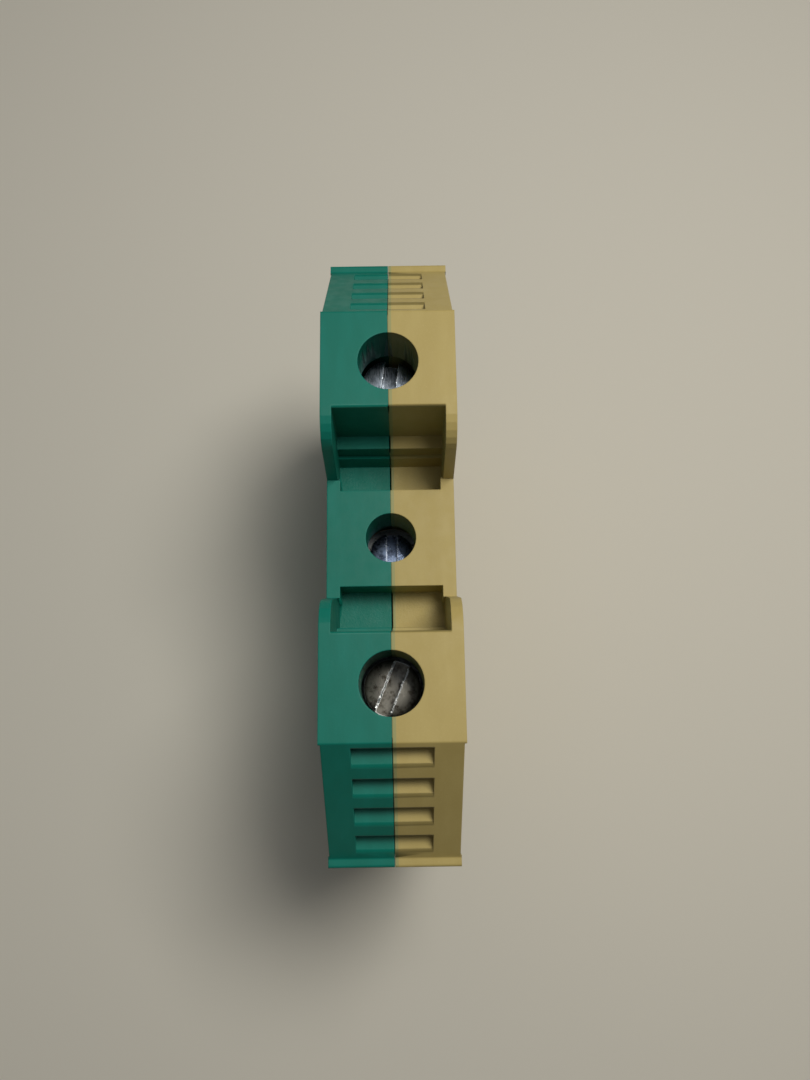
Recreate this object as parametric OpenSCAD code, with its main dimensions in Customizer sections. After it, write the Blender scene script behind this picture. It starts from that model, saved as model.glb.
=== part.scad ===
// Earth terminal block for a 35 mm top-hat rail.
// X runs across the block, Y along it from one wire entry to the other, Z is up.
// The origin lies under the middle of the block, at the level of its feet.
// Two moulded half shells meet on the plane X = 0 and hold the metalwork between them.

/* [Half shells] */
// Width across both half shells
body_w = 12; // [11:0.5:20]
// Thickness of the side walls
side_wall = 1; // [0.8:0.1:1.2]
// Depth of the screwdriver tunnels through the roof
roof_t = 5; // [4:0.25:5.5]
// Diameter of the screwdriver tunnel over each clamp screw
clamp_hole_d = 5.4; // [5.2:0.1:6]
// Diameter of the screwdriver tunnel over the rail screw
rail_hole_d = 4.7; // [4.5:0.1:5.5]
// Gap between the half shells where they are relieved
parting_gap = 0.14; // [0.08:0.02:0.3]

/* [Shoulders and plateau] */
// Distance of each clamp screw from the middle
clamp_y = 14.1; // [13.9:0.1:16]
// Length of a shoulder on the inner side of its clamp screw
shoulder_inner = 4.3; // [4:0.1:4.4]
// Length of a shoulder on the outer side of its clamp screw
shoulder_outer = 4.75; // [4.5:0.05:6]
// Depth of the middle plateau below the shoulders
plateau_drop = 8.2; // [7.5:0.1:9]
// Half length of the middle plateau
plateau_half = 4.6; // [4:0.1:4.8]
// Distance from a shoulder's inner edge to the foot of the curved side wall
crest_run = 4.15; // [4:0.05:4.4]
// Lean of the curved side wall at its foot, along Y
crest_lean = 1.55; // [1:0.05:2]
// Radius of the curved side wall
crest_r = 3.1; // [2:0.1:3.2]

/* [Marker pockets] */
// Width of a marker pocket
pocket_w = 10; // [9:0.1:10]
// Width of a marker pocket beside the plateau
pocket_neck_w = 9.5; // [8:0.1:9.8]
// Depth of the pocket floor below the shoulders
pocket_depth = 11.7; // [11:0.1:12.5]
// Depth of the pocket's upper ledge below the shoulders
ledge_depth = 7.7; // [7:0.1:8.2]
// Width of the upper ledge
ledge_w = 1.25; // [0.8:0.05:1.4]
// Height of the step under the upper ledge
step_h = 2.05; // [1.5:0.05:2.5]
// Width of the lower step
step_w = 0.3; // [0.2:0.05:0.5]
// Slant of the face between the lower step and the floor
step_slant = 0.25; // [0.1:0.05:0.5]

/* [End slopes] */
// Horizontal run of each end slope
slope_run = 9.85; // [9:0.05:12]
// Fall of each end slope
slope_fall = 10.6; // [9.5:0.1:12]
// Depth of the lip at the foot of each slope
lip_depth = 0.8; // [0.5:0.1:1.5]
// Height of the lip
lip_h = 1.5; // [1:0.1:2]
// Distance that the wire face lies behind the lip
lip_overhang = 1.9; // [1:0.1:3]
// Amount that the sides of an end are set back from the shoulders
end_inset = 0.18; // [0.1:0.02:0.4]
// Amount that the ends of the lip are set back from the shoulders
lip_inset = 0.07; // [0.02:0.01:0.1]
// Number of slots in each slope
slot_count = 4; // [2:1:4]
// Distance of the first slot from the shoulder, down the slope
slot_start = 0.6; // [0.4:0.1:1]
// Spacing of the slots, down the slope
slot_pitch = 3.61; // [3.3:0.01:3.8]
// Opening of each slot, down the slope
slot_open = 2.1; // [1.5:0.1:2.4]
// Width of the slots across the block
slot_w = 6.8; // [4:0.1:8]
// Depth of each slot under its top edge
slot_depth = 1; // [0.6:0.1:1.4]
// Radius of each slot's lower edge
slot_edge_r = 0.5; // [0.2:0.05:0.7]

/* [Wire entries] */
// Height of the wires over the rail seat
wire_rise = 18.9; // [18:0.1:24]
// Diameter of the wire tunnels
wire_tunnel_d = 6; // [5:0.1:6]
// Diameter of each tunnel's mouth
wire_mouth_d = 8; // [7.2:0.1:8.4]
// Depth of the funnel at the mouth
wire_funnel = 1.6; // [1:0.1:3]

/* [Clamps] */
// Height of the open wire space under the earth bar
wire_space = 6.2; // [5:0.1:6.4]
// Height that is left for the wire when a cage is fully up
wire_space_min = 0.6; // [0.4:0.1:1]
// Width of a cage across the block
cage_w = 9.2; // [8.8:0.1:9.4]
// Length of a cage along the block
cage_len = 8; // [6:0.1:8]
// Thickness of the cage's steel strip
cage_t = 1.2; // [1:0.05:1.3]
// Height of the open cage's roof over the earth bar
cage_lift = 1; // [0.5:0.1:1.5]
// Slit between the two folded layers of the cage's roof
fold_slit = 0.2; // [0.1:0.05:0.3]
// Diameter of the clamp screw's thread
clamp_thread_d = 4; // [3:0.5:4]
// Pitch of the clamp screw's thread
clamp_pitch = 0.7; // [0.5:0.1:0.8]
// Diameter of the clamp screw's head
clamp_head_d = 5; // [4.6:0.1:5]
// Height of the clamp screw's head
clamp_head_h = 2.6; // [2:0.1:3]
// Depth of the clamp screw's head below the shoulder
clamp_head_drop = 5.6; // [5.2:0.1:6.5]
// Width of the slot in the clamp screw's head
clamp_slot_w = 1.35; // [0.8:0.05:1.6]
// Depth of the slot in the clamp screw's head
clamp_slot_depth = 1.5; // [0.8:0.1:1.8]
// Bevel of the clamp screw's head
clamp_bevel = 0.35; // [0.1:0.05:0.6]
// Turn of the near clamp screw's slot from the length of the block, in degrees
near_slot_turn = -23; // [-90:1:90]
// Turn of the far clamp screw's slot from the length of the block, in degrees
far_slot_turn = -8; // [-90:1:90]

/* [Earth bar] */
// Thickness of the earth bar
bar_t = 2; // [1.5:0.1:2.5]
// Width of the earth bar
bar_w = 6.2; // [5:0.1:6.2]
// Length of the bar past the axis of each clamp screw
bar_end = 5.3; // [5:0.1:5.4]
// Depth of the grip grooves in the bar and the cages
grip_depth = 0.3; // [0.1:0.05:0.4]
// Spacing of the grip grooves
grip_pitch = 1.4; // [1.2:0.1:2]
// Number of grip grooves at each clamp
grip_count = 4; // [2:1:4]

/* [Rail fixing] */
// Width of the rail over its flanges
rail_w = 35; // [34.5:0.5:35.5]
// Thickness of the rail's flanges
rail_t = 1; // [0.8:0.1:1.3]
// Height of the rail seat over the feet
seat_z = 5; // [4.8:0.1:6]
// Gap between a hook and the edge of the rail
rail_gap = 0.3; // [0.2:0.05:0.5]
// Thickness of the foot's and the jaw's steel strip
strip_t = 1.5; // [1.2:0.1:1.6]
// Width of the foot's and the jaw's steel strip
strip_w = 7; // [5:0.1:7.4]
// Inner radius of the bends in the strip
bend_r = 0.4; // [0.3:0.05:0.6]
// Distance from the middle to the leg of the fixed foot
foot_leg_y = 7.25; // [6:0.05:7.4]
// Reach of a hook under the rail, from the rail's edge
hook_reach = 2.3; // [1.5:0.1:3]
// Height of the nib at the end of the jaw
nib_h = 0.5; // [0.3:0.1:0.8]
// Height that the jaw rises to grip the rail
jaw_travel = 1.6; // [1:0.1:1.8]
// Height of the jaw's arm over its hook
jaw_height = 11.6; // [10:0.1:12]
// Width of the square nut
nut_w = 6; // [5.5:0.1:6.5]
// Thickness of the square nut
nut_t = 2.4; // [2:0.1:3]
// Diameter of the rail screw's thread
rail_thread_d = 3.5; // [2.5:0.5:3.5]
// Diameter of the rail screw's head
rail_head_d = 4.4; // [4:0.1:4.4]
// Height of the rail screw's head
rail_head_h = 1.6; // [1.4:0.1:2]
// Width of the slot in the rail screw's head
rail_slot_w = 1.1; // [0.6:0.05:1.2]
// Depth of the slot in the rail screw's head
rail_slot_depth = 0.9; // [0.5:0.1:1]
// Length of the rail screw past the square nut
rail_screw_past = 1.6; // [1:0.1:1.9]
// Outer diameter of the lock washer
washer_d = 6; // [5.5:0.1:6.2]
// Thickness of the lock washer
washer_t = 0.75; // [0.6:0.05:1]

/* [Clearances] */
// Clearance between a moving piece and a moulded wall
slide_gap = 0.3; // [0.2:0.05:0.3]
// Clearance between a fixed metal piece and a moulded wall
seat_gap = 0.1; // [0.05:0.01:0.2]
// Radial clearance of a thread in its nut
thread_gap = 0.05; // [0.02:0.01:0.09]
// Radial clearance of a screw in a plain hole
pass_gap = 0.15; // [0.1:0.05:0.3]
// Gap under a screw's tip or washer
tip_gap = 0.15; // [0.1:0.05:0.3]

/* [Joining pins] */
// Diameter of the pins that join the half shells
pin_d = 2; // [1.5:0.1:2.2]
// Length of the pins
pin_len = 3; // [2:0.1:4]
// Radial clearance of a pin in its socket
pin_gap = 0.05; // [0.02:0.01:0.1]

/* [Hidden] */

$fn = 48;
arc_steps = 6;
half_w = body_w / 2;
cavity_w = half_w - side_wall;
over = 1;

// Heights of the metalwork, from the feet up
wire_z = seat_z + wire_rise;
bar_under_z = wire_z + wire_space / 2;
bar_top_z = bar_under_z + bar_t;
cage_floor_z = wire_z - wire_space / 2;
cage_bottom_z = cage_floor_z - cage_t;
cage_roof_z = bar_top_z + cage_lift;
cage_top_z = cage_roof_z + 2 * cage_t + fold_slit;
cage_travel = wire_space - wire_space_min;
clamp_head_z = cage_top_z + cage_travel + slide_gap + 0.5;
clamp_head_top_z = clamp_head_z + clamp_head_h;
clamp_tip_z = bar_top_z + tip_gap;
washer_z = bar_top_z + tip_gap;
rail_head_z = washer_z + washer_t;
rail_head_top_z = rail_head_z + rail_head_h;
jaw_hook_z = 0.4;
jaw_arm_z = jaw_hook_z + jaw_height;
nut_z = jaw_arm_z - nut_t;
rail_tip_z = nut_z - rail_screw_past;
foot_hook_top_z = seat_z - rail_t - 0.2;

// Heights of the moulding
shoulder_z = clamp_head_top_z + clamp_head_drop;
plateau_z = shoulder_z - plateau_drop;
pocket_z = shoulder_z - pocket_depth;
lip_z = shoulder_z - slope_fall;
clamp_roof_z = shoulder_z - roof_t;
rail_roof_z = plateau_z - roof_t;

// Distances along the block
shoulder_in_y = clamp_y - shoulder_inner;
shoulder_out_y = clamp_y + shoulder_outer;
slope_end_y = shoulder_out_y + slope_run;
lip_y = slope_end_y + lip_depth;
wire_face_y = lip_y - lip_overhang;
crest_foot_y = shoulder_in_y - crest_run;
crest_top_y = crest_foot_y + crest_lean;
hook_y = rail_w / 2 + rail_gap;
foot_inner_y = hook_y + 0.2;
foot_wall = 1.8;
foot_outer_y = hook_y + strip_t + slide_gap + foot_wall;
jaw_reach_y = rail_w / 2 - hook_reach;
chamber_in_y = clamp_y - cage_len / 2 - slide_gap;
chamber_out_y = clamp_y + cage_len / 2 + slide_gap;
bar_end_y = clamp_y + bar_end;
foot_corner_z = wire_z - 11.4;
wire_face_low_z = wire_z - 6.3;
pin_spots = [[23.5, wire_z - 6.2], [6.5, (bar_top_z + pocket_z) / 2]];

green = "#1f7a68";
yellow = "#c9bd88";
zinc = "#9aa3ab";
tinned = "#c6c4b8";

// ---------- Outlines ----------

function unit(v) = v / norm(v);

// Points of an arc of radius r that rounds the corner b between a and c
function corner(a, b, c, r) =
    r == 0 ? [b] :
    let(
        u = unit(a - b),
        w = unit(c - b),
        half = acos(u * w) / 2,
        centre = b + unit(u + w) * r / sin(half),
        p = b + u * r / tan(half) - centre,
        q = b + w * r / tan(half) - centre,
        start = atan2(p.y, p.x),
        sweep = (atan2(q.y, q.x) - start + 540) % 360 - 180
    )
    [for (i = [0:arc_steps])
        centre + r * [cos(start + sweep * i / arc_steps), sin(start + sweep * i / arc_steps)]];

// Outline through [y, z, radius] points, with each corner rounded
function rounded(points) =
    let(
        n = len(points),
        flat = [for (p = points) [p.x, p.y]]
    )
    [for (i = [0:n - 1]) each corner(flat[(i + n - 1) % n], flat[i], flat[(i + 1) % n], points[i].z)];

function left_of(v) = [-v.y, v.x];

// One side of a strip that follows a path, at distance d to the left, as [y, z, radius]
function strip_side(path, d, r_left, r_right) =
    let(last = len(path) - 1)
    [for (i = [0:last])
        let(
            before = unit(i == 0 ? path[1] - path[0] : path[i] - path[i - 1]),
            after = unit(i == last ? path[last] - path[last - 1] : path[i + 1] - path[i]),
            mitre = unit(left_of(before) + left_of(after)),
            stretch = d / (mitre * left_of(after)),
            turn = before.x * after.y - before.y * after.x,
            place = path[i] + mitre * stretch
        )
        [place.x, place.y, turn == 0 ? 0 : turn > 0 ? r_left : r_right]];

// Outline of a bent strip of thickness t along a path, with inner bend radius r
function bent_strip(path, t, r) =
    let(
        left = strip_side(path, t / 2, r, r + t),
        right = strip_side(path, -t / 2, r + t, r)
    )
    rounded(concat(left, [for (i = [len(right) - 1:-1:0]) right[i]]));

// Extrude a YZ outline along X from x0 to x1
module across(x0, x1) {
    translate([x0, 0, 0])
        rotate([90, 0, 90])
            linear_extrude(height = x1 - x0)
                children();
}

// Extrude an XZ outline along Y, centred on y
module along(y, length) {
    translate([0, y + length / 2, 0])
        rotate([90, 0, 0])
            linear_extrude(height = length)
                children();
}

module both_ends() {
    children();
    mirror([0, 1, 0]) children();
}

// ---------- Half shells ----------

// Outline of the moulding from the middle to one end
module end_outline() {
    polygon(rounded([
        [0, plateau_z, 0],
        [crest_foot_y, plateau_z, 0],
        [crest_top_y, shoulder_z, crest_r],
        [shoulder_out_y, shoulder_z, 0.2],
        [slope_end_y, lip_z, 0.2],
        [lip_y, lip_z, 0.25],
        [lip_y, lip_z - lip_h, 0.3],
        [wire_face_y, lip_z - lip_h - 0.8, 0.3],
        [wire_face_y, wire_face_low_z, 1.5],
        [foot_outer_y, foot_corner_z, 1.5],
        [foot_outer_y, 0, 0.6],
        [foot_inner_y, 0, 0.5],
        [foot_inner_y, seat_z, 0.3],
        [0, seat_z, 0]
    ]));
}

// Section of a marker pocket, from its ledges to the plateau's wall
module pocket_outline() {
    ledge_z = shoulder_z - ledge_depth;
    riser_y = shoulder_in_y - ledge_w;
    polygon(concat(
        [
            [plateau_half, shoulder_z + over],
            [plateau_half, pocket_z],
            [riser_y - step_w - step_slant, pocket_z],
            [riser_y - step_w, ledge_z - step_h],
            [riser_y, ledge_z - step_h],
            [riser_y, ledge_z],
            [shoulder_in_y, ledge_z]
        ],
        corner([shoulder_in_y, ledge_z], [shoulder_in_y, shoulder_z], [clamp_y, shoulder_z], 0.6),
        [[clamp_y, shoulder_z + over]]
    ));
}

module marker_pocket() {
    neck = crest_foot_y + 0.05;
    intersection() {
        across(-pocket_w / 2, pocket_w / 2) pocket_outline();
        union() {
            translate([-half_w, neck, pocket_z])
                cube([body_w, clamp_y - neck, pocket_depth + over]);
            translate([-pocket_neck_w / 2, 0, pocket_z])
                cube([pocket_neck_w, clamp_y, pocket_depth + over]);
        }
    }
}

slope_dir = unit([slope_run, -slope_fall]);

// Point on the end slope at distance s below the shoulder's edge
function on_slope(s) = [shoulder_out_y, shoulder_z] + s * slope_dir;

// One slot in the end slope: flat floor, sharp top edge, rounded lower edge
module slope_slot(s) {
    top = on_slope(s);
    low = on_slope(s + slot_open);
    back = top.x - slot_depth;
    edge = corner([back, low.y], low, on_slope(s + slot_open + over), slot_edge_r);
    across(-slot_w / 2, slot_w / 2)
        polygon(concat(
            [[top.x + over, top.y + 0.01], [back, top.y + 0.01], [back, low.y]],
            edge,
            [edge[arc_steps] + [over, 0]]
        ));
}

// Thin cuts that set the sides of an end back from the shoulders
module end_side_relief() {
    face = [
        [shoulder_out_y + 0.1, shoulder_z + over],
        [shoulder_out_y + 0.1, wire_face_low_z],
        [lip_y + over, wire_face_low_z],
        [lip_y + over, lip_z],
        [slope_end_y, lip_z],
        [slope_end_y - over, shoulder_z + over]
    ];
    lip = [
        [slope_end_y - 0.2, lip_z + over],
        [slope_end_y - 0.2, lip_z - lip_h - over],
        [lip_y + over, lip_z - lip_h - over],
        [lip_y + over, lip_z + over]
    ];
    for (side = [0, 1])
        mirror([side, 0, 0]) {
            difference() {
                across(half_w - end_inset, half_w + over) polygon(face);
                across(half_w - over, half_w + 2 * over) polygon(lip);
            }
            across(half_w - lip_inset, half_w + over) polygon(lip);
        }
}

// Slits along the parting plane in the pockets and the end slopes
module parting_relief() {
    depth = 2;
    slope = [
        on_slope(0) + [-0.4, over],
        on_slope(0) + [-0.4, -depth],
        [slope_end_y, lip_z - depth],
        [lip_y + over, lip_z - depth],
        [lip_y + over, lip_z + over]
    ];
    across(-parting_gap / 2, parting_gap / 2) {
        polygon(slope);
        translate([0, -1.2]) pocket_outline();
    }
}

// Chamber of one clamp, with the well for the screw's head above it
module clamp_chamber() {
    floor_z = cage_bottom_z - slide_gap;
    top_z = cage_top_z + cage_travel + slide_gap;
    head_half = clamp_head_d / 2 + slide_gap + 0.2;
    across(-cavity_w, cavity_w) {
        translate([chamber_in_y, floor_z])
            square([chamber_out_y - chamber_in_y, top_z - floor_z]);
        translate([clamp_y - head_half, floor_z])
            square([2 * head_half, clamp_roof_z - floor_z]);
    }
}

// Void behind the end slope that keeps the moulding's walls even
module slope_void() {
    wall = 1.6;
    y0 = bar_end_y + 0.8;
    y1 = wire_face_y - wall;
    z0 = wire_z + wire_mouth_d / 2 + 0.6;
    skin = 3.9;
    across(-cavity_w, cavity_w)
        polygon([
            [y0, z0],
            [y1, z0],
            [y1, shoulder_z - (y1 - shoulder_out_y) * slope_fall / slope_run - skin],
            [y0, shoulder_z - (y0 - shoulder_out_y) * slope_fall / slope_run - skin]
        ]);
}

// Wire tunnel with its funnel mouth
module wire_tunnel() {
    translate([0, chamber_out_y - over, wire_z])
        rotate([-90, 0, 0])
            cylinder(d = wire_tunnel_d, h = wire_face_y - chamber_out_y + 2 * over);
    translate([0, wire_face_y - wire_funnel, wire_z])
        rotate([-90, 0, 0])
            cylinder(d1 = wire_tunnel_d, d2 = wire_mouth_d, h = wire_funnel);
    translate([0, wire_face_y, wire_z])
        rotate([-90, 0, 0])
            cylinder(d = wire_mouth_d, h = over);
}

// Channel that holds the earth bar
module bar_channel() {
    translate([-bar_w / 2 - seat_gap, -bar_end_y - seat_gap, bar_under_z])
        cube([bar_w + 2 * seat_gap, 2 * (bar_end_y + seat_gap), bar_t + seat_gap]);
}

// Centre line of the fixed foot, from its plate under the bar to its hook
foot_path = [
    [4, bar_under_z - strip_t / 2],
    [-foot_leg_y, bar_under_z - strip_t / 2],
    [-foot_leg_y, seat_z + strip_t / 2],
    [-hook_y - strip_t / 2, seat_z + strip_t / 2],
    [-hook_y - strip_t / 2, foot_hook_top_z - strip_t / 2],
    [-jaw_reach_y, foot_hook_top_z - strip_t / 2]
];

module foot_channel() {
    w = strip_w / 2 + seat_gap;
    across(-w, w) {
        polygon(bent_strip(foot_path, strip_t + 2 * seat_gap, bend_r));
        translate([4, bar_under_z - strip_t - seat_gap])
            square([seat_gap, strip_t + seat_gap]);
        translate([-hook_y, 0])
            square([hook_y - jaw_reach_y, seat_z]);
    }
}

// Room for the jaw to slide up and down
module jaw_channel() {
    w = strip_w / 2 + slide_gap;
    tail = nut_w / 2 + slide_gap;
    arm_low = jaw_arm_z - slide_gap;
    arm_high = jaw_arm_z + strip_t + jaw_travel + slide_gap;
    leg_out = hook_y + strip_t + slide_gap;
    across(-w, w)
        polygon([
            [-tail, arm_low],
            [hook_y - slide_gap, arm_low],
            [hook_y - slide_gap, -over],
            [leg_out, -over],
            [leg_out, arm_high],
            [-tail, arm_high]
        ]);
    translate([-tail, -tail, nut_z - slide_gap])
        cube([2 * tail, 2 * tail, nut_t + jaw_travel + 2 * slide_gap]);
}

// Tunnels and wells of the rail screw, from the plateau down
module rail_screw_way() {
    well = rail_thread_d / 2 + 2 * slide_gap;
    translate([0, 0, rail_roof_z - over])
        cylinder(d = rail_hole_d, h = roof_t + 2 * over);
    translate([0, 0, bar_top_z])
        cylinder(d = washer_d + 2 * slide_gap, h = rail_roof_z - bar_top_z);
    translate([-well, -well, rail_tip_z - slide_gap])
        cube([2 * well, 2 * well, bar_top_z - rail_tip_z]);
}

module moulding() {
    difference() {
        both_ends() across(-half_w, half_w) end_outline();
        both_ends() {
            marker_pocket();
            for (i = [0:slot_count - 1]) slope_slot(slot_start + i * slot_pitch);
            end_side_relief();
            parting_relief();
            clamp_chamber();
            slope_void();
            wire_tunnel();
            translate([0, clamp_y, clamp_roof_z - over])
                cylinder(d = clamp_hole_d, h = roof_t + 2 * over);
        }
        bar_channel();
        foot_channel();
        jaw_channel();
        rail_screw_way();
    }
}

module joining_pins(gap) {
    for (spot = pin_spots, end = [-1, 1])
        translate([-over, end * spot.x, spot.y])
            rotate([0, 90, 0])
                cylinder(d = pin_d + 2 * gap, h = over + pin_len + gap);
}

module half_space(side) {
    translate([side > 0 ? 0 : -body_w, -lip_y - over, -over])
        cube([body_w, 2 * (lip_y + over), shoulder_z + 2 * over]);
}

module green_shell() {
    color(green) {
        intersection() {
            moulding();
            half_space(-1);
        }
        joining_pins(0);
    }
}

module yellow_shell() {
    color(yellow)
        difference() {
            intersection() {
                moulding();
                half_space(1);
            }
            joining_pins(pin_gap);
        }
}

// ---------- Earth bar and fixed foot ----------

// Row of V grooves across the block, cut upwards from height z or down from it
module grip_grooves(y, z) {
    for (i = [0:grip_count - 1])
        translate([0, y + (i - (grip_count - 1) / 2) * grip_pitch, z])
            across(-half_w, half_w)
                polygon([[-grip_depth, 0], [0, grip_depth], [grip_depth, 0], [0, -grip_depth]]);
}

module earth_bar() {
    color(tinned)
        difference() {
            translate([-bar_w / 2, -bar_end_y, bar_under_z])
                cube([bar_w, 2 * bar_end_y, bar_t]);
            for (end = [-1, 1]) grip_grooves(end * clamp_y, bar_under_z);
            translate([0, 0, bar_under_z - over])
                cylinder(d = rail_thread_d + 2 * pass_gap, h = bar_t + 2 * over);
        }
}

module rail_foot() {
    color(zinc)
        difference() {
            across(-strip_w / 2, strip_w / 2) polygon(bent_strip(foot_path, strip_t, bend_r));
            translate([0, 0, bar_under_z - strip_t - over])
                cylinder(d = rail_thread_d + 2 * pass_gap, h = strip_t + 2 * over);
        }
}

// ---------- Clamps ----------

// Strip folded into a cage whose roof has two layers
module clamp_cage(end) {
    side_x = (cage_w - cage_t) / 2;
    low_z = cage_roof_z + cage_t / 2;
    high_z = low_z + cage_t + fold_slit;
    path = [
        [side_x - cage_t / 2 - 0.2, low_z],
        [-side_x, low_z],
        [-side_x, cage_floor_z - cage_t / 2],
        [side_x, cage_floor_z - cage_t / 2],
        [side_x, high_z],
        [-side_x - cage_t / 2, high_z]
    ];
    color(zinc)
        difference() {
            along(end * clamp_y, cage_len) polygon(bent_strip(path, cage_t, 0.5));
            grip_grooves(end * clamp_y, cage_floor_z);
            translate([0, end * clamp_y, cage_roof_z - over])
                cylinder(d = clamp_thread_d + 2 * thread_gap, h = 2 * cage_t + 2 * over);
        }
}

module near_clamp_cage() {
    clamp_cage(-1);
}

module far_clamp_cage() {
    clamp_cage(1);
}

// Slotted screw on the Z axis, from the tip up to the top of its head
module slotted_screw(tip_z, under_head_z, top_z, thread_d, head_d, bevel, slot_w, slot_depth, turn) {
    point = 0.5;
    difference() {
        rotate_extrude()
            polygon([
                [0, tip_z],
                [thread_d / 2 - point, tip_z],
                [thread_d / 2, tip_z + point],
                [thread_d / 2, under_head_z],
                [head_d / 2, under_head_z],
                [head_d / 2, top_z - bevel],
                [head_d / 2 - bevel, top_z],
                [0, top_z]
            ]);
        rotate([0, 0, turn])
            translate([-slot_w / 2, -head_d, top_z - slot_depth])
                cube([slot_w, 2 * head_d, slot_depth + over]);
    }
}

module clamp_screw(end, turn) {
    color(zinc)
        translate([0, end * clamp_y, 0])
            slotted_screw(
                clamp_tip_z, clamp_head_z, clamp_head_top_z, clamp_thread_d,
                clamp_head_d, clamp_bevel, clamp_slot_w, clamp_slot_depth, turn
            );
}

module near_clamp_screw() {
    clamp_screw(-1, near_slot_turn);
}

module far_clamp_screw() {
    clamp_screw(1, far_slot_turn);
}

// ---------- Rail fixing ----------

module rail_jaw() {
    arm = jaw_arm_z + strip_t / 2;
    hook = jaw_hook_z + strip_t / 2;
    path = [
        [-nut_w / 2, arm],
        [hook_y + strip_t / 2, arm],
        [hook_y + strip_t / 2, hook],
        [jaw_reach_y + strip_t / 2, hook],
        [jaw_reach_y + strip_t / 2, hook + strip_t / 2 + nib_h]
    ];
    color(zinc)
        difference() {
            across(-strip_w / 2, strip_w / 2) polygon(bent_strip(path, strip_t, bend_r));
            translate([0, 0, jaw_arm_z - over])
                cylinder(d = rail_thread_d + 2 * pass_gap, h = strip_t + 2 * over);
        }
}

module square_nut() {
    color(zinc)
        difference() {
            translate([-nut_w / 2, -nut_w / 2, nut_z])
                cube([nut_w, nut_w, nut_t]);
            translate([0, 0, nut_z - over])
                cylinder(d = rail_thread_d + 2 * thread_gap, h = nut_t + 2 * over);
        }
}

module rail_screw() {
    color(zinc)
        slotted_screw(
            rail_tip_z, rail_head_z, rail_head_top_z, rail_thread_d,
            rail_head_d, 0.2, rail_slot_w, rail_slot_depth, 0
        );
}

// Split spring washer under the rail screw's head
module lock_washer() {
    color(zinc)
        difference() {
            translate([0, 0, washer_z])
                cylinder(d = washer_d, h = washer_t);
            translate([0, 0, washer_z - over])
                cylinder(d = rail_thread_d + 2 * pass_gap, h = washer_t + 2 * over);
            translate([0, 0, washer_z - over])
                rotate([0, 0, 30])
                    translate([0, -0.2, 0])
                        cube([washer_d, 0.4, washer_t + 2 * over]);
        }
}

green_shell();
yellow_shell();
earth_bar();
rail_foot();
near_clamp_cage();
far_clamp_cage();
near_clamp_screw();
far_clamp_screw();
rail_jaw();
square_nut();
rail_screw();
lock_washer();
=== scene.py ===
# %% [markdown]
# # Dressing a two-colour earth terminal block
# The block is a small rail-mounted terminal, 12 mm wide and 59 mm long, moulded in two halves: one green,
# one a faded yellow. Its metalwork sits inside, and three slotted screws are seen down their tunnels.
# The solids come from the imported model. This lesson gives them light, a floor, a camera and finishes. It
# dresses the half shells in mended copies of themselves, and swaps the plain screws for worn, threaded ones.

import math

import bmesh
import bpy
from mathutils import Matrix, Vector


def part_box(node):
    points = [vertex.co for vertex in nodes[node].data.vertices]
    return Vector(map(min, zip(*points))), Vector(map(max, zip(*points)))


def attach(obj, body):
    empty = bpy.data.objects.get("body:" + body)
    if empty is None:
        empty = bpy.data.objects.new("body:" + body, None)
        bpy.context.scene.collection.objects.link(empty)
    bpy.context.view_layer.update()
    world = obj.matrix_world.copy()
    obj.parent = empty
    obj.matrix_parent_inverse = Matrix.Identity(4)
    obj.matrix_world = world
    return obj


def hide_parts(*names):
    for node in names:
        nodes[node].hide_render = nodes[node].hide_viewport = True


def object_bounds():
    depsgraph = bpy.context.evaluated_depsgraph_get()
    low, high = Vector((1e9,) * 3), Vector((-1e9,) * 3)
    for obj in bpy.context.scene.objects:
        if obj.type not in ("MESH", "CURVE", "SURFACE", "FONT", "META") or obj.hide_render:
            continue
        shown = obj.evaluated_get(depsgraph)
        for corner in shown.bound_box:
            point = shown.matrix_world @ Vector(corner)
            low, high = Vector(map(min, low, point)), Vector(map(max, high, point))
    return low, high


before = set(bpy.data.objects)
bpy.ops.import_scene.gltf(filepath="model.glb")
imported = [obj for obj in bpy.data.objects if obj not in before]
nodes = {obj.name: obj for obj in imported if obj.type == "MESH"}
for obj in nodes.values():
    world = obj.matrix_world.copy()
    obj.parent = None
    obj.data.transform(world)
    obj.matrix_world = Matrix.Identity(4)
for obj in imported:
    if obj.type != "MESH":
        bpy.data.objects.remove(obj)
cad_low, cad_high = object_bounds()
print("nodes:", ", ".join(sorted(nodes)))
print("size in mm:", [round(1000 * side, 2) for side in cad_high - cad_low])

# %% [markdown]
# Everything in the scene is in metres, while the real sizes of such a part are small numbers of
# millimetres. One helper turns millimetres into metres, so that the values below can be checked with a ruler.


# %% Millimetres
def mm(size):
    return size / 1000


print("1 mm is", mm(1), "m")

# %% [markdown]
# ## Camera
# The block is seen from above, a hand's breadth away and a little towards its near end, so its far end
# looks smaller. A camera can be aimed by angles, by a tracking constraint or by its own axes. The axes are
# the plainest here: the way it looks, the way that is up, and a third square to both.

# %% Aim the camera
CAMERA_PLACE = Vector((mm(0.903), mm(-19.738), mm(122.045)))
LOOKS = Vector((0.00475, 0.22834, -0.97357)).normalized()
UP = Vector((0.01421, 0.97347, 0.22839)).normalized()

right = LOOKS.cross(UP).normalized()
camera_axes = Matrix((right, right.cross(LOOKS), -LOOKS)).transposed().to_4x4()
camera_data = bpy.data.cameras.new("camera")
camera_data.lens = 30.456
camera_data.clip_start = mm(5)
camera = bpy.data.objects.new("camera", camera_data)
camera.matrix_world = Matrix.Translation(CAMERA_PLACE) @ camera_axes
bpy.context.scene.collection.objects.link(camera)
bpy.context.scene.camera = camera
print("camera height in mm:", round(1000 * camera.location.z, 1))

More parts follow.
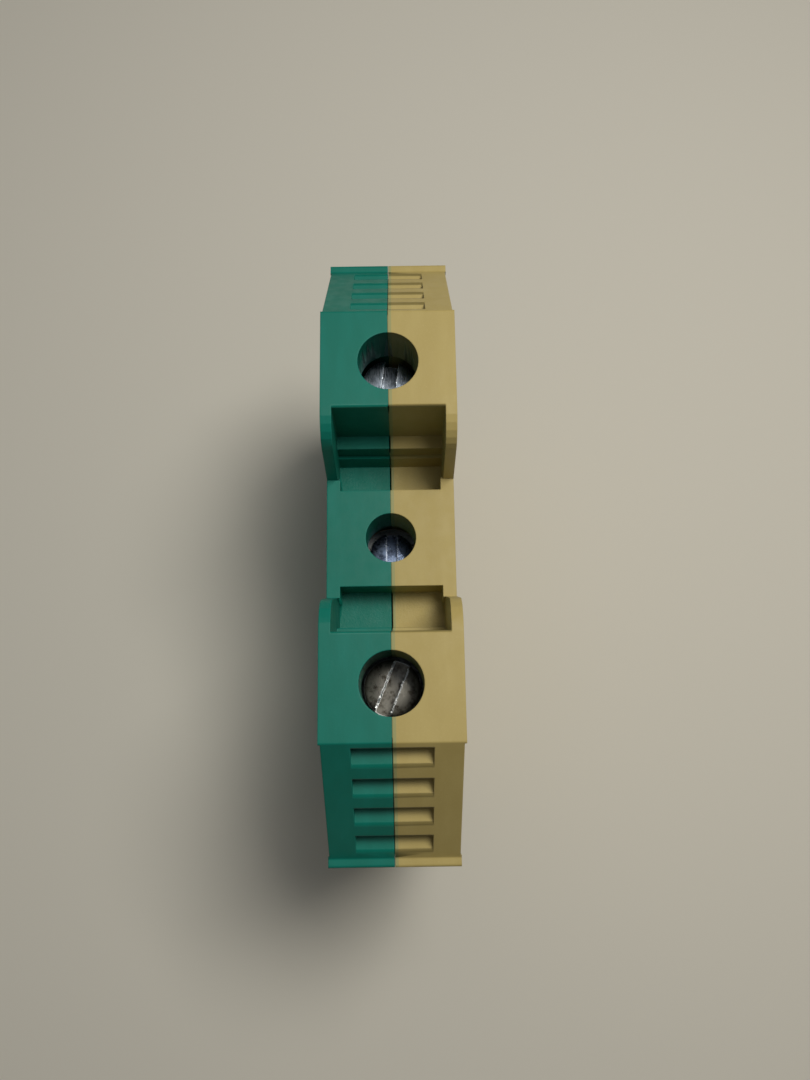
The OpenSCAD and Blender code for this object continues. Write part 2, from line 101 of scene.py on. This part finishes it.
# %% [markdown]
# ## Colours and nodes
# Colours are written as hex values, as a maker's colour card or a drawing program gives them. Those are
# sRGB values, and Blender's shaders work with linear light, so one function turns them round.
# Another small function adds one node with its settings, its values and its links. A value may be a number,
# a socket, a node, whose first live output is then linked, or a list of nodes for a socket that takes many.


# %% Helpers for colours and nodes
def linear(hex_colour):
    parts = [int(hex_colour[i:i + 2], 16) / 255 for i in (1, 3, 5)]
    light = [c / 12.92 if c <= 0.04045 else ((c + 0.055) / 1.055) ** 2.4 for c in parts]
    return (*light, 1.0)


def add_node(tree, kind, values=None, **settings):
    node = tree.nodes.new(kind)
    for name, setting in settings.items():
        setattr(node, name, setting)
    for key, value in (values or {}).items():
        sources = value if isinstance(value, list) else [value]
        for source in sources:
            if isinstance(source, bpy.types.Node):
                source = next(socket for socket in source.outputs if socket.enabled)
            if isinstance(source, bpy.types.NodeSocket):
                tree.links.new(source, node.inputs[key])
            else:
                node.inputs[key].default_value = source
    return node


YELLOW_BODY = "#b7a567"
print("the yellow half in linear light:", [round(c, 3) for c in linear(YELLOW_BODY)[:3]])

# %% [markdown]
# ## Floor and light
# A part this small is lit as on a photographer's table. A soft lamp high up on the right, a little beyond
# the middle, does most of the work: it leaves the near slope and the far pocket's wall dark, and throws a
# soft shadow to the left. A broad weak lamp overhead is what the screws mirror down in their tunnels. The
# world gives next to nothing, and the floor is plain and pale, so little colour comes back from it.

# %% Floor, world and lamps
floor_mesh = bpy.data.meshes.new("floor")
FLOOR_HALF = 2.0
FLOOR_CORNERS = [(-FLOOR_HALF, -FLOOR_HALF, 0), (FLOOR_HALF, -FLOOR_HALF, 0)]
FLOOR_CORNERS += [(FLOOR_HALF, FLOOR_HALF, 0), (-FLOOR_HALF, FLOOR_HALF, 0)]
floor_mesh.from_pydata(FLOOR_CORNERS, [], [(0, 1, 2, 3)])
floor = bpy.data.objects.new("floor", floor_mesh)
bpy.context.scene.collection.objects.link(floor)
floor.location.z = mm(-0.02)
paper = bpy.data.materials.new("matt pale card")
paper.use_nodes = True
paper.node_tree.nodes["Principled BSDF"].inputs["Base Color"].default_value = linear("#e2dfd4")
paper.node_tree.nodes["Principled BSDF"].inputs["Roughness"].default_value = 0.85
floor_mesh.materials.append(paper)

world = bpy.data.worlds.new("studio")
world.use_nodes = True
bpy.context.scene.world = world
sky = world.node_tree
sky.nodes["Background"].inputs["Color"].default_value = linear("#f0ebe0")
sky.nodes["Background"].inputs["Strength"].default_value = 0.08


def add_lamp(name, place, aim, side, watts, colour):
    data = bpy.data.lights.new(name, "AREA")
    data.size = side
    data.energy = watts
    data.color = linear(colour)[:3]
    lamp = bpy.data.objects.new(name, data)
    lamp.location = place
    lamp.rotation_euler = (Vector(aim) - Vector(place)).to_track_quat("-Z", "Y").to_euler()
    lamp.visible_camera = False
    bpy.context.scene.collection.objects.link(lamp)
    return lamp


add_lamp("key lamp", (mm(66), mm(50), mm(240)), (0, mm(5), mm(30)), mm(90), 0.32, "#fffaf0")
add_lamp("overhead lamp", (0, mm(90), mm(430)), (0, mm(10), mm(40)), mm(380), 0.17, "#eef3ff")
bpy.context.scene.view_settings.view_transform = "Standard"

# %% [markdown]
# ## Moulded polyamide
# Both half shells are polyamide 6.6, injection moulded in a satin tool. The eye reads it by a soft sheen,
# a faint cloudiness where the melt flowed, a fine orange peel, paler edges that are partly rubbed wear and
# partly a painted highlight, and a coarser sparked grain on the pocket floors. One function makes the finish
# and takes the colours of each half.
# The edges are found with a Bevel node: where its softened normal leaves the true one, there is an edge.


# %% Edges
def softened_edges(tree, width):
    """The normal softened over a width, and its likeness to the true one: 1 on a flat, less on an edge."""
    soft = add_node(tree, "ShaderNodeBevel", {"Radius": width}, samples=6)
    true = add_node(tree, "ShaderNodeNewGeometry").outputs["Normal"]
    likeness = add_node(tree, "ShaderNodeVectorMath", {0: soft, 1: true}, operation="DOT_PRODUCT")
    return soft, likeness


MOULDED_EDGE = mm(0.15)
# the metal's lighter edge band is partly rubbed wear and partly a painted highlight
RUBBED_HIGHLIGHT_EDGE = mm(0.14)
print("edges in mm:", round(1000 * MOULDED_EDGE, 2), "moulded,", round(1000 * RUBBED_HIGHLIGHT_EDGE, 2), "rubbed metal")


# %% Colour of the half shells
def polyamide_colour(tree, place, across, likeness, body, cloud, edge, seam, seam_width):
    """The body's colour with flow marks, speckle, paler edges and the strip beside the other half."""
    # flow marks of a few millimetres, drawn out along the block
    flow = add_node(tree, "ShaderNodeMapping", {"Vector": place, "Scale": (700, 180, 420)})
    flow = add_node(
        tree, "ShaderNodeTexNoise", {"Vector": flow, "Scale": 1.0, "Detail": 3, "Roughness": 0.55}
    )
    # pigment speckle of 0.12 mm
    speckle = add_node(
        tree, "ShaderNodeTexNoise", {"Vector": place, "Scale": 8000, "Detail": 2, "Roughness": 0.6}
    )
    to_seam = add_node(tree, "ShaderNodeMath", {0: across}, operation="ABSOLUTE")

    # each layer: what shows it, from where to where it comes in, its greatest share, and its colour
    layers = (
        (flow, 0.35, 0.75, 0.6, 1.0, cloud),
        (speckle, 0.55, 0.8, 0.25, 1.0, edge),
        # paler edges: partly rubbed wear, partly a painted highlight
        (likeness, 0.995, 0.9, 1.0, 0.35, edge),
        (to_seam, mm(seam_width), mm(seam_width * 0.7), 1.0, 0.8, seam),
    )
    colour = linear(body)
    for source, start, full, most, share, layer_colour in layers:
        amount = add_node(
            tree, "ShaderNodeMapRange",
            {"Value": source, "From Min": start, "From Max": full, "To Max": most},
            interpolation_type="SMOOTHSTEP",
        )
        amount = add_node(tree, "ShaderNodeMath", {0: amount, 1: share}, operation="MULTIPLY")
        colour = add_node(
            tree, "ShaderNodeMix", {0: amount, 6: colour, 7: linear(layer_colour)}, data_type="RGBA"
        )
    return colour


print("layers over the body's colour: flow marks, speckle, edges, seam")


# %% Relief of the half shells
def polyamide_relief(tree, place, axes, soft):
    """Orange peel of 0.3 mm all over, and sparked grain of 0.2 mm low in the marker pockets."""
    peel = add_node(tree, "ShaderNodeTexNoise", {"Vector": place, "Scale": 3200, "Detail": 2})
    grain = add_node(
        tree, "ShaderNodeTexNoise", {"Vector": place, "Scale": 5200, "Detail": 3, "Roughness": 0.7}
    )
    along = add_node(tree, "ShaderNodeMath", {0: axes["Y"]}, operation="ABSOLUTE")

    # the grain is kept below the lower step, above the pocket's floor and inside its length
    grained = grain
    limits = (
        (axes["Z"], mm(37.4), mm(36.9)),
        (axes["Z"], mm(34.9), mm(35.2)),
        (along, mm(10.5), mm(10.3)),
    )
    for source, outside, inside in limits:
        within = add_node(
            tree, "ShaderNodeMapRange", {"Value": source, "From Min": outside, "From Max": inside},
            interpolation_type="SMOOTHSTEP",
        )
        grained = add_node(tree, "ShaderNodeMath", {0: grained, 1: within}, operation="MULTIPLY")
    height = add_node(tree, "ShaderNodeMath", {0: peel, 1: 0.16}, operation="MULTIPLY")
    height = add_node(tree, "ShaderNodeMath", {0: grained, 1: 1.2, 2: height}, operation="MULTIPLY_ADD")
    return add_node(
        tree, "ShaderNodeBump", {"Height": height, "Distance": mm(0.06), "Strength": 0.5, "Normal": soft}
    )


print("relief at most 0.06 mm deep")


# %% Finish of the half shells
def polyamide(name, body, cloud, edge, seam, seam_width):
    material = bpy.data.materials.new(name)
    material.use_nodes = True
    tree = material.node_tree
    shader = tree.nodes["Principled BSDF"]
    place = add_node(tree, "ShaderNodeTexCoord").outputs["Object"]
    axes = add_node(tree, "ShaderNodeSeparateXYZ", {0: place}).outputs
    soft, likeness = softened_edges(tree, MOULDED_EDGE)
    colour = polyamide_colour(tree, place, axes["X"], likeness, body, cloud, edge, seam, seam_width)
    relief = polyamide_relief(tree, place, axes, soft)

    # satin with a faint change from patch to patch, which scatters most of the gloss
    satin = add_node(tree, "ShaderNodeTexNoise", {"Vector": place, "Scale": 900, "Detail": 4})
    satin = add_node(
        tree, "ShaderNodeMapRange",
        {"Value": satin, "From Min": 0.3, "From Max": 0.7, "To Min": 0.40, "To Max": 0.50},
        interpolation_type="SMOOTHSTEP",
    )
    tree.links.new(colour.outputs[2], shader.inputs["Base Color"])
    tree.links.new(satin.outputs["Result"], shader.inputs["Roughness"])
    tree.links.new(relief.outputs["Normal"], shader.inputs["Normal"])
    shader.inputs["IOR"].default_value = 1.53
    shader.inputs["Specular IOR Level"].default_value = 0.2
    return material


# the fourth colour serves the speckle and the paler edges, which are partly wear and partly a painted
# highlight
green = polyamide("green moulded polyamide", "#0f7566", "#127e70", "#288c80", "#0e6054", 0.05)
yellow = polyamide("yellow moulded polyamide", YELLOW_BODY, "#bfae70", "#cdbf88", "#9a9f70", 0.38)
print("half shells:", green.name, "and", yellow.name)

# %% [markdown]
# ## Half shells
# The solids have their curved flanks in flat strips, and a slit of 0.14 mm between them on the end slopes.
# On a real block the flanks are round and the slopes nearly touch. So each shell gets a copy of its solid
# whose slit is closed up to 0.05 mm and whose pockets meet the shoulders in a crisp edge. The small faces
# of the round stretches are shaded smoothly, and the large flat ones stay flat, so that no light creeps
# over them.

# %% Shells with round flanks and a close seam
SLIT_HALF = mm(0.07)
SEAM_HALF = mm(0.025)
SLOPE_START = mm(18.0)
STRIP_AREA = mm(1) * mm(2)
SHARP_TURN = math.radians(24)
POCKET_HALF = mm(5)
POCKET_EDGE_Y = mm(9.8)
SOLID_EDGE_R = mm(0.6)
CRISP_EDGE_R = mm(0.2)
SAME_POINT = mm(0.001)
NEAR = mm(0.004)


def shell_piece(name, node, finish):
    source = nodes[node]
    shape = bmesh.new()
    shape.from_mesh(source.data)
    shape.transform(source.matrix_world)
    bmesh.ops.remove_doubles(shape, verts=shape.verts, dist=SAME_POINT)
    closed_up = 0
    crisper = 0
    for corner in shape.verts:
        x, y, z = corner.co
        if abs(abs(x) - SLIT_HALF) < NEAR and abs(y) > SLOPE_START:
            corner.co.x = math.copysign(SEAM_HALF, x)
            closed_up += 1
        # how far the corner lies from the sharp edge that the round one stands for
        past = abs(y) - POCKET_EDGE_Y
        below = cad_high.z - z
        off_arc = abs(math.hypot(SOLID_EDGE_R - past, SOLID_EDGE_R - below) - SOLID_EDGE_R)
        in_arc = min(past, below) > -NEAR and max(past, below) < SOLID_EDGE_R + NEAR
        if in_arc and off_arc < NEAR and abs(x) < POCKET_HALF + NEAR:
            corner.co.y = math.copysign(POCKET_EDGE_Y + past * CRISP_EDGE_R / SOLID_EDGE_R, y)
            corner.co.z = cad_high.z - below * CRISP_EDGE_R / SOLID_EDGE_R
            crisper += 1
    mesh = bpy.data.meshes.new(name)
    shape.to_mesh(mesh)
    shape.free()
    mesh.materials.append(finish)
    mesh.set_sharp_from_angle(angle=SHARP_TURN)
    for face in mesh.polygons:
        face.use_smooth = face.area < STRIP_AREA
    piece = bpy.data.objects.new(name, mesh)
    bpy.context.scene.collection.objects.link(piece)
    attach(piece, "housing")
    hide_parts(node)
    print(name, "has", len(mesh.polygons), "faces; moved", closed_up, "on the slit,", crisper, "on edges")
    return piece


shell_piece("green_shell_moulded", "green_shell", green)
shell_piece("yellow_shell_moulded", "yellow_shell", yellow)

# %% [markdown]
# ## Zinc and tin
# The screws, cages, foot, jaw and nut are steel with a blue-passivated zinc plating: bright, faintly blue,
# with fine drawing or rolling lines and a mottle where the plating is thinner. The bar is copper, tinned
# warm and matt. A metal keeps the default IOR: its colour and roughness say what it is.


# %% Plated metal
def plated(name, body, stain, rubbed_and_highlight, rough, lines):
    material = bpy.data.materials.new(name)
    material.use_nodes = True
    tree = material.node_tree
    shader = tree.nodes["Principled BSDF"]
    shader.inputs["Metallic"].default_value = 1.0
    place = add_node(tree, "ShaderNodeTexCoord").outputs["Object"]
    soft, likeness = softened_edges(tree, RUBBED_HIGHLIGHT_EDGE)
    mottle = add_node(
        tree, "ShaderNodeTexNoise", {"Vector": place, "Scale": 1400, "Detail": 5, "Roughness": 0.65}
    )

    # the stain in its patches, then the edges lighter: partly rubbed wear, partly a painted highlight
    colour = linear(body)
    for source, start, full, most, layer in (
        (mottle, 0.45, 0.7, 1.0, stain),
        (likeness, 0.998, 0.93, 0.9, rubbed_and_highlight),
    ):
        amount = add_node(
            tree, "ShaderNodeMapRange",
            {"Value": source, "From Min": start, "From Max": full, "To Max": most},
            interpolation_type="SMOOTHSTEP",
        )
        colour = add_node(tree, "ShaderNodeMix", {0: amount, 6: colour, 7: linear(layer)}, data_type="RGBA")

    # fine lines left by rolling or turning, drawn 0.08 mm apart so that they show
    drawn = add_node(tree, "ShaderNodeMapping", {"Vector": place, "Scale": lines})
    drawn = add_node(
        tree, "ShaderNodeTexNoise", {"Vector": drawn, "Scale": 1.0, "Detail": 4, "Roughness": 0.7}
    )
    gloss = add_node(
        tree, "ShaderNodeMapRange",
        {"Value": drawn, "From Min": 0.3, "From Max": 0.7, "To Min": rough - 0.08, "To Max": rough + 0.1},
        interpolation_type="SMOOTHSTEP",
    )
    relief = add_node(tree, "ShaderNodeBump", {"Height": drawn, "Distance": mm(0.02), "Strength": 0.45})
    tree.links.new(colour.outputs[2], shader.inputs["Base Color"])
    tree.links.new(gloss.outputs["Result"], shader.inputs["Roughness"])
    tree.links.new(relief.outputs["Normal"], shader.inputs["Normal"])
    return material


# the fourth colour of each metal lightens its edges: partly rubbed wear, partly a painted highlight
zinc_strip = plated("zinc-plated steel strip", "#a4a9ad", "#84878a", "#c4c8cb", 0.34, (900, 12000, 900))
tarnished_screw = plated(
    "tarnished zinc-plated screw steel", "#6f6d66", "#38332c", "#e3e8ea", 0.34, (9000, 2200, 2200)
)
bright_screw = plated("zinc-plated screw steel", "#9aa5b3", "#6b7480", "#dde6f0", 0.3, (12000, 1100, 1500))
blue_screw = plated("blue-passivated screw steel", "#71809a", "#3a4354", "#c3cddd", 0.3, (2600, 2600, 2600))
tinned_copper = plated("tinned copper", "#cfc9ba", "#b5ab98", "#dcd8cc", 0.38, (12000, 700, 700))

METAL = {
    "rail_foot": zinc_strip, "near_clamp_cage": zinc_strip, "far_clamp_cage": zinc_strip,
    "rail_jaw": zinc_strip, "square_nut": zinc_strip, "lock_washer": zinc_strip,
    "earth_bar": tinned_copper,
}
for node, finish in METAL.items():
    for place in nodes[node].material_slots:
        place.material = finish
print("metal nodes:", len(METAL))

# %% [markdown]
# ## Slotted screws
# Three slotted screws do the work: two close the clamps and one draws up the jaw. They differ in size but
# not in kind, so one Geometry Nodes tree makes all three, with its sizes as inputs. The body is a grid
# rolled up like a sheet of paper: its columns go round the axis and its rows go up, and a rule gives each
# row its radius, with a ridge that climbs one pitch a turn. A boolean then cuts the slot, and small chips
# of raised metal sit along the slot's edges, as a driver leaves them.

# %% Sizes shared by the screws
AROUND = 48
SHANK_ROWS = 130
HEAD_ROWS = 5
ROWS = SHANK_ROWS + HEAD_ROWS
CHIPS_A_SIDE = 26
# shares of the head's diameter: half the row of chips, and the length of the slot's cutter
CHIP_REACH = 0.42
CUTTER_REACH = 1.4
print("faces round and up a screw:", AROUND, "by", ROWS - 1)


# %% The turned body
def turned_body(tree, given):
    # the sheet: u goes round from 0 to 1, and row counts upwards from the tip
    sheet = add_node(
        tree, "GeometryNodeMeshGrid",
        {"Size X": 1.0, "Size Y": 1.0, "Vertices X": AROUND + 1, "Vertices Y": ROWS},
    )
    spot = add_node(tree, "ShaderNodeSeparateXYZ", {0: add_node(tree, "GeometryNodeInputPosition")})

    # each line works out one value from numbers, inputs and values above it
    sums = (
        ("u", "ADD", spot.outputs["X"], 0.5),
        ("row part", "ADD", spot.outputs["Y"], 0.5),
        ("row steps", "MULTIPLY", "row part", ROWS - 1.0),
        ("row", "ROUND", "row steps"),
        # the shank's height, from 0 at its first row to 1 at its last
        ("shank row", "SUBTRACT", "row", 1.0),
        ("climb", "DIVIDE", "shank row", SHANK_ROWS - 1.0),
        ("climb from 0", "MAXIMUM", "climb", 0.0),
        ("up", "MINIMUM", "climb from 0", 1.0),
        ("length", "SUBTRACT", given["Under Head Z"], given["Tip Z"]),
        ("shank z", "MULTIPLY_ADD", "up", "length", given["Tip Z"]),
        # the ridge of the thread, which climbs one pitch a turn
        ("pitches", "DIVIDE", "shank z", given["Thread Pitch"]),
        ("turns", "SUBTRACT", "pitches", "u"),
        ("flanks", "MULTIPLY", "turns", 2.0),
        ("wave", "PINGPONG", "flanks", 1.0),
    )
    later_sums = (
        ("groove", "SUBTRACT", 1.0, "ridge"),
        ("lowered", "MULTIPLY", "groove", given["Thread Depth"]),
        ("radius", "MULTIPLY", given["Thread Diameter"], 0.5),
        ("thread r", "SUBTRACT", "radius", "lowered"),
        # the pointed end, closed in the middle of its first row
        ("past tip", "SUBTRACT", "shank z", given["Tip Z"]),
        ("tip r", "SUBTRACT", "radius", given["Point"]),
        ("point r", "ADD", "tip r", "past tip"),
        ("open r", "MINIMUM", "thread r", "point r"),
        ("not first", "GREATER_THAN", "row", 0.5),
        ("shank r", "MULTIPLY", "open r", "not first"),
        # the head: four more rows, the last of them the middle of the top
        ("head r", "MULTIPLY", given["Head Diameter"], 0.5),
        ("bevel z", "SUBTRACT", given["Top Z"], given["Bevel Height"]),
        ("bevel r", "SUBTRACT", "head r", given["Bevel Width"]),
        ("past shank", "SUBTRACT", "row", SHANK_ROWS + 0.0),
        ("step", "MAXIMUM", "past shank", 0.0),
        ("angle", "MULTIPLY", "u", math.tau),
        ("cosine", "COSINE", "angle"),
        ("sine", "SINE", "angle"),
    )
    value = {}
    for part in (sums, later_sums):
        for name, operation, *terms in part:
            terms = [value[term] if isinstance(term, str) else term for term in terms]
            value[name] = add_node(tree, "ShaderNodeMath", dict(enumerate(terms)), operation=operation)
        if part is sums:
            value["ridge"] = add_node(
                tree, "ShaderNodeMapRange", {"Value": value["wave"], "From Min": 0.12, "From Max": 0.88},
                interpolation_type="SMOOTHSTEP",
            )

    # the radius and the height of each row, the shank's first and then the head's
    radii = (value["shank r"], value["head r"], value["head r"], value["bevel r"], 0.0)
    heights = (value["shank z"], given["Under Head Z"], value["bevel z"], given["Top Z"], given["Top Z"])
    chosen = []
    for choices in (radii, heights):
        switch = add_node(tree, "GeometryNodeIndexSwitch", {"Index": value["step"]}, data_type="FLOAT")
        while len(switch.index_switch_items) < len(choices):
            switch.index_switch_items.new()
        for number, choice in enumerate(choices):
            if isinstance(choice, float):
                switch.inputs[number + 1].default_value = choice
            else:
                source = choice.outputs[0] if isinstance(choice, bpy.types.Node) else choice
                tree.links.new(source, switch.inputs[number + 1])
        chosen.append(switch)
    rolled = add_node(tree, "ShaderNodeCombineXYZ", {
        "X": add_node(tree, "ShaderNodeMath", {0: chosen[0], 1: value["cosine"]}, operation="MULTIPLY"),
        "Y": add_node(tree, "ShaderNodeMath", {0: chosen[0], 1: value["sine"]}, operation="MULTIPLY"),
        "Z": chosen[1],
    })
    body = add_node(tree, "GeometryNodeSetPosition", {"Geometry": sheet, "Position": rolled})
    return add_node(tree, "GeometryNodeMergeByDistance", {"Geometry": body, "Distance": mm(0.002)})


print("head rows:", HEAD_ROWS)


# %% The slot's cutter
def slot_cutter(tree, given, lifted, turned):
    """A box across the head, with sides that wander a few hundredths of a millimetre."""
    deep = add_node(tree, "ShaderNodeMath", {0: given["Slot Depth"], 1: 2.0}, operation="MULTIPLY")
    wide = add_node(
        tree, "ShaderNodeMath", {0: given["Head Diameter"], 1: CUTTER_REACH}, operation="MULTIPLY"
    )
    size = add_node(tree, "ShaderNodeCombineXYZ", {"X": given["Slot Width"], "Y": wide, "Z": deep})
    cutter = add_node(
        tree, "GeometryNodeMeshCube", {"Size": size, "Vertices X": 2, "Vertices Y": 40, "Vertices Z": 6}
    )
    wander = add_node(tree, "ShaderNodeTexNoise", {"Scale": 2600, "Detail": 2})
    centred = add_node(tree, "ShaderNodeMath", {0: wander, 1: 0.5}, operation="SUBTRACT")
    sideways = add_node(tree, "ShaderNodeMath", {0: centred, 1: given["Chip Size"]}, operation="MULTIPLY")
    offset = add_node(tree, "ShaderNodeCombineXYZ", {"X": sideways})
    cutter = add_node(tree, "GeometryNodeSetPosition", {"Geometry": cutter, "Offset": offset})
    return add_node(
        tree, "GeometryNodeTransform", {"Geometry": cutter, "Translation": lifted, "Rotation": turned}
    )


print("cutter:", CUTTER_REACH, "head diameters long")


# %% Chips along the slot
def slot_chips(tree, given, lifted, turned):
    """Chips of raised metal along both edges of the slot."""
    reach = add_node(
        tree, "ShaderNodeMath", {0: given["Head Diameter"], 1: CHIP_REACH}, operation="MULTIPLY"
    )
    back = add_node(tree, "ShaderNodeMath", {0: reach, 1: -1.0}, operation="MULTIPLY")
    rows = []
    for side in (-1.0, 1.0):
        edge_x = add_node(
            tree, "ShaderNodeMath", {0: given["Slot Width"], 1: side / 2}, operation="MULTIPLY"
        )
        line = add_node(tree, "GeometryNodeMeshLine", {
            "Count": CHIPS_A_SIDE,
            "Start Location": add_node(tree, "ShaderNodeCombineXYZ", {"X": edge_x, "Y": back}),
            "Offset": add_node(tree, "ShaderNodeCombineXYZ", {"X": edge_x, "Y": reach}),
        }, mode="END_POINTS")
        shaken = add_node(tree, "FunctionNodeRandomValue", {
            0: (-mm(0.04), -mm(0.09), -mm(0.02)), 1: (mm(0.04), mm(0.09), mm(0.015)), "Seed": given["Seed"],
        }, data_type="FLOAT_VECTOR")
        line = add_node(tree, "GeometryNodeSetPosition", {"Geometry": line, "Offset": shaken})
        chip = add_node(tree, "GeometryNodeMeshIcoSphere", {"Radius": 1.0, "Subdivisions": 1})
        size_seed = add_node(tree, "ShaderNodeMath", {0: given["Seed"], 1: 7.0 + side}, operation="ADD")
        thick = add_node(tree, "FunctionNodeRandomValue", {
            0: (0.25, 0.4, 0.15), 1: (0.75, 1.7, 0.5), "Seed": size_seed,
        }, data_type="FLOAT_VECTOR")
        grown = add_node(
            tree, "ShaderNodeVectorMath", {0: thick, "Scale": given["Chip Size"]}, operation="SCALE"
        )
        spin_seed = add_node(tree, "ShaderNodeMath", {0: given["Seed"], 1: 23.0 + side}, operation="ADD")
        spun = add_node(tree, "FunctionNodeRandomValue", {
            0: (-0.5, -0.4, -0.6), 1: (0.5, 0.4, 0.6), "Seed": spin_seed,
        }, data_type="FLOAT_VECTOR")
        rows.append(add_node(tree, "GeometryNodeInstanceOnPoints", {
            "Points": line, "Instance": chip, "Rotation": spun, "Scale": grown,
        }))
    both = add_node(tree, "GeometryNodeJoinGeometry", {0: rows})
    return add_node(
        tree, "GeometryNodeTransform", {"Geometry": both, "Translation": lifted, "Rotation": turned}
    )


print("chips on a screw:", 2 * CHIPS_A_SIDE)


# %% The screw's tree
def screw_tree():
    tree = bpy.data.node_groups.new("slotted screw", "GeometryNodeTree")
    tree.interface.new_socket("Mesh", in_out="OUTPUT", socket_type="NodeSocketGeometry")
    for name in (
        "Axis Y", "Tip Z", "Under Head Z", "Top Z", "Thread Diameter", "Thread Pitch", "Thread Depth",
        "Point", "Head Diameter", "Bevel Width", "Bevel Height", "Slot Width", "Slot Depth", "Slot Turn",
        "Chip Size",
    ):
        tree.interface.new_socket(name, in_out="INPUT", socket_type="NodeSocketFloat")
    tree.interface.new_socket("Seed", in_out="INPUT", socket_type="NodeSocketInt")
    tree.interface.new_socket("Finish", in_out="INPUT", socket_type="NodeSocketMaterial")
    given = add_node(tree, "NodeGroupInput").outputs

    turned = add_node(tree, "ShaderNodeCombineXYZ", {"Z": given["Slot Turn"]})
    lifted = add_node(tree, "ShaderNodeCombineXYZ", {"Z": given["Top Z"]})
    cut = add_node(
        tree, "GeometryNodeMeshBoolean",
        {"Mesh 1": turned_body(tree, given), "Mesh 2": slot_cutter(tree, given, lifted, turned)},
        operation="DIFFERENCE", solver="EXACT",
    )
    # body and chips together, on the screw's own axis
    chips = slot_chips(tree, given, lifted, turned)
    whole = add_node(tree, "GeometryNodeJoinGeometry", {0: [cut, chips]})
    aside = add_node(tree, "ShaderNodeCombineXYZ", {"Y": given["Axis Y"]})
    whole = add_node(tree, "GeometryNodeTransform", {"Geometry": whole, "Translation": aside})
    whole = add_node(tree, "GeometryNodeRealizeInstances", {0: whole})
    whole = add_node(tree, "GeometryNodeSetMaterial", {"Geometry": whole, "Material": given["Finish"]})
    add_node(tree, "NodeGroupOutput", {0: whole})
    return tree


SCREW_TREE = screw_tree()
print("inputs of the screw:", len([s for s in SCREW_TREE.interface.items_tree if s.in_out == "INPUT"]))


# %% From a tree to a plain mesh
def grown_mesh(name, tree, inputs):
    """Runs a tree with these inputs and keeps the result as an ordinary mesh object."""
    seed_mesh = bpy.data.meshes.new(name)
    piece = bpy.data.objects.new(name, seed_mesh)
    bpy.context.scene.collection.objects.link(piece)
    modifier = piece.modifiers.new("grow", "NODES")
    modifier.node_group = tree
    for socket in tree.interface.items_tree:
        if socket.in_out == "INPUT" and socket.name in inputs:
            modifier[socket.identifier] = inputs[socket.name]
    graph = bpy.context.evaluated_depsgraph_get()
    made = bpy.data.meshes.new_from_object(piece.evaluated_get(graph))
    piece.modifiers.clear()
    piece.data = made
    made.name = name
    outward = bmesh.new()
    outward.from_mesh(made)
    bmesh.ops.recalc_face_normals(outward, faces=outward.faces)
    outward.to_mesh(made)
    outward.free()
    made.shade_smooth()
    made.set_sharp_from_angle(angle=math.radians(32))
    return piece


def screw_piece(name, node, body, sizes):
    low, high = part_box(node)
    inputs = {
        "Axis Y": (low.y + high.y) / 2, "Tip Z": low.z, "Top Z": high.z, "Head Diameter": high.x - low.x,
        "Point": mm(0.5),
    }
    piece = grown_mesh(name, SCREW_TREE, {**inputs, **sizes})
    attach(piece, body)
    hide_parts(node)
    print(name, "has", len(piece.data.polygons), "faces")
    return piece


CLAMP_SCREW = {
    "Under Head Z": mm(39.0), "Thread Diameter": mm(4), "Thread Pitch": mm(0.7), "Thread Depth": mm(0.4),
    "Bevel Width": mm(0.36), "Bevel Height": mm(0.13), "Slot Width": mm(1.35), "Slot Depth": mm(1.5),
}
screw_piece("near_clamp_screw_worn", "near_clamp_screw", "near_screw", {
    **CLAMP_SCREW, "Slot Turn": math.radians(-23), "Chip Size": mm(0.13), "Seed": 4,
    "Finish": tarnished_screw,
})
screw_piece("far_clamp_screw_worn", "far_clamp_screw", "far_screw", {
    **CLAMP_SCREW, "Slot Turn": math.radians(-8), "Chip Size": mm(0.07), "Seed": 9, "Finish": bright_screw,
})
screw_piece("rail_screw_worn", "rail_screw", "rail_bolt", {
    "Under Head Z": mm(29.9), "Thread Diameter": mm(3.5), "Thread Pitch": mm(0.6), "Thread Depth": mm(0.35),
    "Bevel Width": mm(0.25), "Bevel Height": mm(0.1), "Slot Width": mm(1.1), "Slot Depth": mm(0.9),
    "Slot Turn": 0.0, "Chip Size": mm(0.06), "Seed": 2, "Finish": blue_screw,
})
